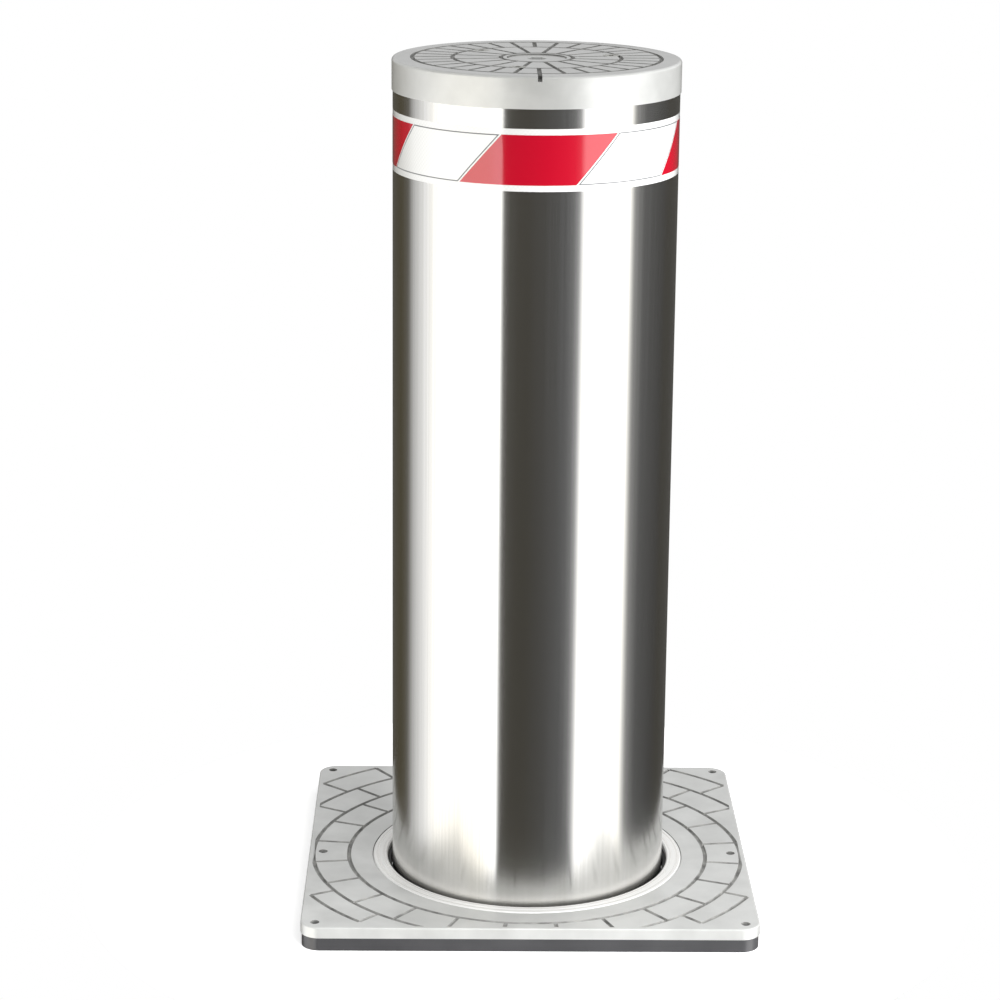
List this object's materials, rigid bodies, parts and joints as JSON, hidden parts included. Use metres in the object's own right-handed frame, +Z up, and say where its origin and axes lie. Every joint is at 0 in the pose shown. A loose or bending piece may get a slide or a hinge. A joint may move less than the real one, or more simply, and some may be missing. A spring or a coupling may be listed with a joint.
{
  "type": "retractable bollard",
  "caption": "Hydraulic retractable bollard: polished steel column with reflective band, cobble-pattern cast head and square cover, over a buried steel box with ram and pump.",
  "frame": {"origin": "middle of the buried box's underside, where it rests on its bed; pavement level is 1.1 m above it", "axes": "+Z up along the column, -Y the front, +X to the right; the column stands 27.5 mm forward of the middle"},
  "size_m": [0.442, 0.442, 1.93],
  "materials": {
    "cast_aluminium": "as cast, lightly blasted",
    "polished_stainless": "mirror polished over a fine vertical grain",
    "bright_bezel": "turned bright",
    "black_painted_steel": "satin black",
    "black_rubber": "matte",
    "galvanised_steel": "hot-dip galvanised",
    "machined_steel": "machined, oiled",
    "zinc_plated": "zinc plated",
    "black_oxide": "black oxide",
    "hard_chrome": "ground and hard chromed",
    "reflective_sheeting": "retroreflective, red and white",
    "nylon": "natural cast nylon",
    "black_nylon": "moulded",
    "machine_enamel": "grey-blue machine enamel",
    "machined_aluminium": "milled",
    "steel_laminations": "stacked laminations, varnished",
    "brass": "turned",
    "grey_abs": "moulded ABS, fine texture"
  },
  "bodies": {
    "pit": {"cover_plate": "cast_aluminium", "base_frame": "black_painted_steel", "cover_screws": "black_oxide", "bezel_ring": "bright_bezel", "wiper_seal": "black_rubber", "pit_box": "galvanised_steel", "pit_base": "galvanised_steel", "pit_collar": "galvanised_steel", "ground_lugs": "galvanised_steel", "conduit_stub": "galvanised_steel", "drain_stub": "galvanised_steel", "guide_housing": "galvanised_steel", "guide_rings": "nylon", "top_stop_ring": "black_rubber", "guide_rods": "hard_chrome", "rod_clamps": "zinc_plated", "buffer_posts": "zinc_plated", "bottom_buffers": "black_rubber", "ram_foot": "machined_steel", "foot_bolts": "zinc_plated", "ram_barrel": "machine_enamel", "gland_nut": "machined_steel", "rod_seal": "black_rubber", "oil_tank": "machine_enamel", "suction_strainer": "brass", "pump_block": "machined_aluminium", "pump_cover": "machined_aluminium", "motor_housing": "machine_enamel", "motor_end_cap": "machined_aluminium", "motor_bearings": "machined_steel", "motor_stator": "steel_laminations", "valve_tube": "brass", "valve_coil": "black_nylon", "filler_plug": "brass", "pressure_pipe": "zinc_plated", "pipe_unions": "zinc_plated", "junction_box": "grey_abs", "junction_lid": "grey_abs", "lid_screws": "zinc_plated", "cable_glands": "black_nylon", "travel_sensors": "zinc_plated", "sensor_brackets": "zinc_plated"},
    "column": {"column_tube": "polished_stainless", "head_casting": "cast_aluminium", "head_screws": "zinc_plated", "head_ring": "machined_steel", "lifting_plug": "cast_aluminium", "reflective_band": "reflective_sheeting", "rod_anchor_plate": "machined_steel", "rod_nut": "zinc_plated", "piston_rod": "hard_chrome", "piston": "machined_aluminium", "piston_seal": "black_rubber", "crosshead": "machined_steel", "rod_bushes": "nylon"},
    "rotor": {"motor_rotor": "steel_laminations", "drive_gear": "machined_steel"},
    "idler": {"idler_gear": "machined_steel"},
    "plunger": {"valve_plunger": "machined_steel"},
    "release": {"release_knob": "black_nylon"}
  },
  "joints": [
    {"name": "column_slide", "type": "slide", "parent": "pit", "child": "column", "axis": [0, 0, 1], "range_m": [-0.8, 0]},
    {"name": "motor_spin", "type": "hinge", "parent": "pit", "child": "rotor", "pos_m": [0, 0.0505, 0.45], "axis": [0, 0, 1], "continuous": true},
    {"name": "idler_spin", "type": "hinge", "parent": "pit", "child": "idler", "pos_m": [0.0201, 0.0505, 0.37], "axis": [0, 0, 1], "continuous": true},
    {"name": "plunger_slide", "type": "slide", "parent": "pit", "child": "plunger", "axis": [-1, 0, 0], "range_m": [0, 0.003], "stiffness_N_per_m": 800},
    {"name": "release_turn", "type": "hinge", "parent": "pit", "child": "release", "pos_m": [0.045, 0.0645, 0.345], "axis": [1, 0, 0], "range_deg": [0, 90]}
  ],
  "couplings": [
    {"joint": "idler_spin", "follows": "motor_spin", "ratio": -1}
  ]
}
